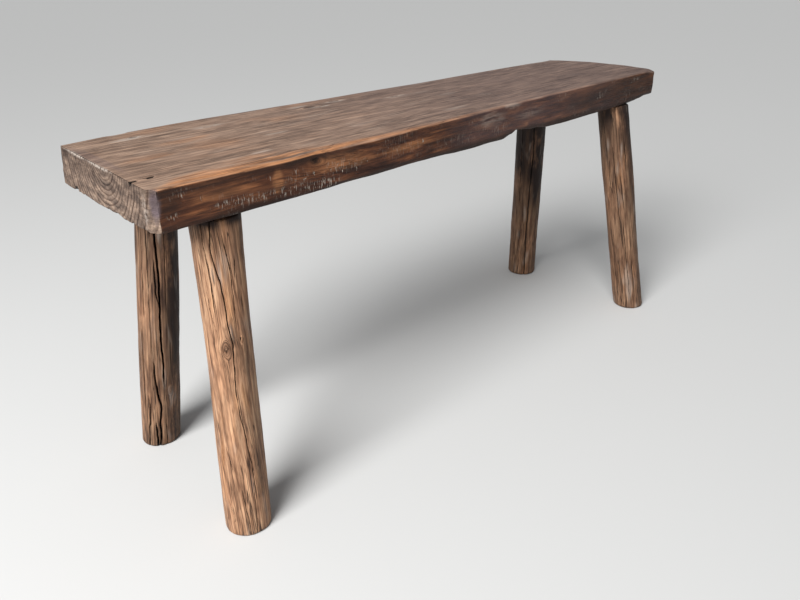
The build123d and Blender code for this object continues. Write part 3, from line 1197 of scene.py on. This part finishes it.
def pole_ageing(pole, kinds, down, turn, surface, knots):
    """The masks that wear and dirt paint on a pole, with its painted shade and painted shadow."""
    soot_and_shade = noise(surface, (14, 14, 160), 46, octaves=2)
    blotchy = 1 + 0.4 * noise(surface, (20, 20, 120), 45, octaves=2)
    # Painted shade on the side that faces away from the light, and painted shadow of the seat near the
    # top
    away = smooth(-5, 40, wrapped(turn)) * smooth(175, 100, wrapped(turn)) * (1 - 0.4 * down)
    shade = pole.shade + pole.top_shade * smooth(0.8, 0.0, down) + pole.side_shade * away
    # Darker at the shoulder and down the top part, partly dirt and partly painted shadow of the seat,
    # and darker at the foot
    grime_and_shade = smooth(0.035, 0.0, down) * 0.85 + smooth(0.985, 1.0, down) * 0.35 + shade * blotchy
    grime_and_shade += 0.35 * smooth(0.25, 0.6, soot_and_shade) + 0.3 * smooth(0.16, 0.0, down) * (1 + soot_and_shade)
    worn = smooth(0.15, 0.6, noise(surface, (12, 12, 140), 47, octaves=2))
    return {
        "end_grain": np.isin(kinds, ("foot", "shoulder", "tip")).astype(float),
        "wear": worn * 0.45 * (1 - pole.shade),
        "grime_and_shade": np.maximum(np.clip(grime_and_shade, 0, 1), 0.35 * smooth(0.2, 0.9, knots)),
        "dust_and_highlight": 0.4 * smooth(0.2, 0.6, noise(surface, (16, 16, 60), 48, octaves=2)),
    }


def make_pole(place, material):
    """One pole leg: sliced level from foot to shoulder, then a plain round tenon on its axis."""
    axis, pole = AXES[place], POLES[place]
    rings = pole_rings()
    counts = [len(shares) for shares in rings.values()]
    kinds = np.repeat(list(rings), np.array(counts) * POLE_COLUMNS)
    shares = np.repeat(np.concatenate(list(rings.values())), POLE_COLUMNS)
    turn = np.tile(np.arange(POLE_COLUMNS) / POLE_COLUMNS * 360 - 180, sum(counts))
    angle = np.radians(turn + pole.face)
    first = np.cross((0, 1, 0), axis.up)
    first /= np.linalg.norm(first)
    second = np.cross(axis.up, first)
    spoke = np.cos(angle)[:, None] * first + np.sin(angle)[:, None] * second
    height = np.select([kinds == "foot", kinds == "shaft"], [0.0, shares * SHOULDER], SHOULDER)
    down = 1 - height / SHOULDER
    girth = axis.radius + eased(down, *pole.girth) * MM
    surface = axis.foot + axis.up * height[:, None] + spoke * girth[:, None]

    rim = round_pole(axis, pole, height, down, surface)
    shaded_crack = cut_checks(axis, pole, rim, down, turn)
    grain, knots = pole_grain(axis, pole, rim, height, turn, surface)
    rim += knots * 0.8 * MM
    points = pole_points(axis, kinds, shares, height, rim, spoke)
    masks = pole_ageing(pole, kinds, down, turn, surface, knots)
    masks["shaded_crack"] = shaded_crack
    masks = {name: np.append(values, (values[0], values[-1])) for name, values in masks.items()}
    masks["grain"] = np.concatenate([grain, grain[[0, -1]] * (1, 0, 0)])
    piece = make_piece(f"pole_{place}", points, pole_faces(sum(counts)), masks, material)
    carve(piece, kerf_cutter(place))
    return piece


def kerf_cutter(place):
    """A bar with the profile of the kerf in a pole's tenon: a wedge's taper over a saw cut."""
    axis = AXES[place]
    across = np.array((1, 0, 0)) - axis.up * axis.up[0]
    across /= np.linalg.norm(across)
    wedge = node_points(f"wedge_{place}") - axis.foot
    height, reach = wedge @ axis.up, np.abs(wedge @ across)
    top, bottom = height.max(), height.min()
    thick = reach.max() + KERF_CLEARANCE
    thin = reach[height < bottom + 1 * MM].max() + KERF_CLEARANCE
    saw_cut = axis.tip - KERF_DEPTH
    profile = [(-thick, top + 2 * MM), (-thick, top), (-thin, bottom), (-thin, saw_cut)]
    profile += [(-x, z) for x, z in reversed(profile)]
    sideways = np.cross(axis.up, across) * (axis.tenon_radius + 1 * MM)
    line = np.array([axis.foot + across * x + axis.up * z for x, z in profile])
    count = len(profile)
    walls = [(i, (i + 1) % count, count + (i + 1) % count, count + i) for i in range(count)]
    faces = walls + [tuple(range(count))[::-1], tuple(range(count, 2 * count))]
    mesh = bpy.data.meshes.new("kerf")
    mesh.from_pydata(np.concatenate([line - sideways, line + sideways]).tolist(), [], faces)
    cutter = bpy.data.objects.new("kerf", mesh)
    bpy.context.scene.collection.objects.link(cutter)
    return cutter


# ==== Putting the pieces on the frame ====

plank_material = old_wood("plank_wood", PLANK_WOOD)
pole_material = old_wood("pole_wood", POLE_WOOD)
wedge_material = old_wood("wedge_wood", WEDGE_WOOD, wedge=True)

plank = make_plank(plank_material)
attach(plank, "root")
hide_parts("seat_plank")

for place in PLACES:
    pole = make_pole(place, pole_material)
    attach(pole, "root")
    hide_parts(f"leg_{place}")
    for material_slot in frame["nodes"][f"wedge_{place}"].material_slots:
        material_slot.material = wedge_material


# ==== Stage: a plain pale floor and soft light, brightest from the left ====


def add_floor():
    """A wide disc, plain and pale."""
    bpy.ops.mesh.primitive_circle_add(vertices=96, radius=30, fill_type="NGON", location=(0, 0, 0))
    floor = bpy.context.object
    floor.name = "floor"
    material = bpy.data.materials.new("floor_paint")
    material.use_nodes = True
    shader = material.node_tree.nodes["Principled BSDF"]
    shader.inputs["Base Color"].default_value = (0.62, 0.62, 0.61, 1)
    shader.inputs["Roughness"].default_value = 0.9
    floor.data.materials.append(material)


def add_soft_light(name, place, size, power):
    """A square area light that looks at the middle of the seat."""
    lamp = bpy.data.objects.new(name, bpy.data.lights.new(name, "AREA"))
    lamp.data.size = size
    lamp.data.energy = power
    lamp.location = place
    aim = Vector((0, 0, 0.3)) - Vector(place)
    lamp.rotation_euler = aim.to_track_quat("-Z", "Y").to_euler()
    bpy.context.scene.collection.objects.link(lamp)


def add_sun(bearing, height, strength, softness):
    """Even light from far off: its bearing from +X and its height in degrees, and its width."""
    lamp = bpy.data.objects.new("soft_sun", bpy.data.lights.new("soft_sun", "SUN"))
    lamp.data.energy = strength
    lamp.data.angle = math.radians(softness)
    turn, rise = math.radians(bearing), math.radians(height)
    level = math.cos(rise)
    towards = Vector((math.cos(turn) * level, math.sin(turn) * level, math.sin(rise)))
    lamp.rotation_euler = towards.to_track_quat("Z", "Y").to_euler()
    bpy.context.scene.collection.objects.link(lamp)


def add_sky():
    """A faint, cool light from all round."""
    world = bpy.data.worlds.new("sky")
    bpy.context.scene.world = world
    world.use_nodes = True
    background = world.node_tree.nodes["Background"]
    background.inputs["Color"].default_value = (0.95, 0.97, 1.0, 1)
    background.inputs["Strength"].default_value = 0.26


add_floor()
add_sky()
add_sun(bearing=199, height=42, strength=2.7, softness=35)
add_soft_light("window_light", (-2.1, -0.5, 1.6), size=1.2, power=50)
bpy.context.scene.view_settings.view_transform = "Standard"
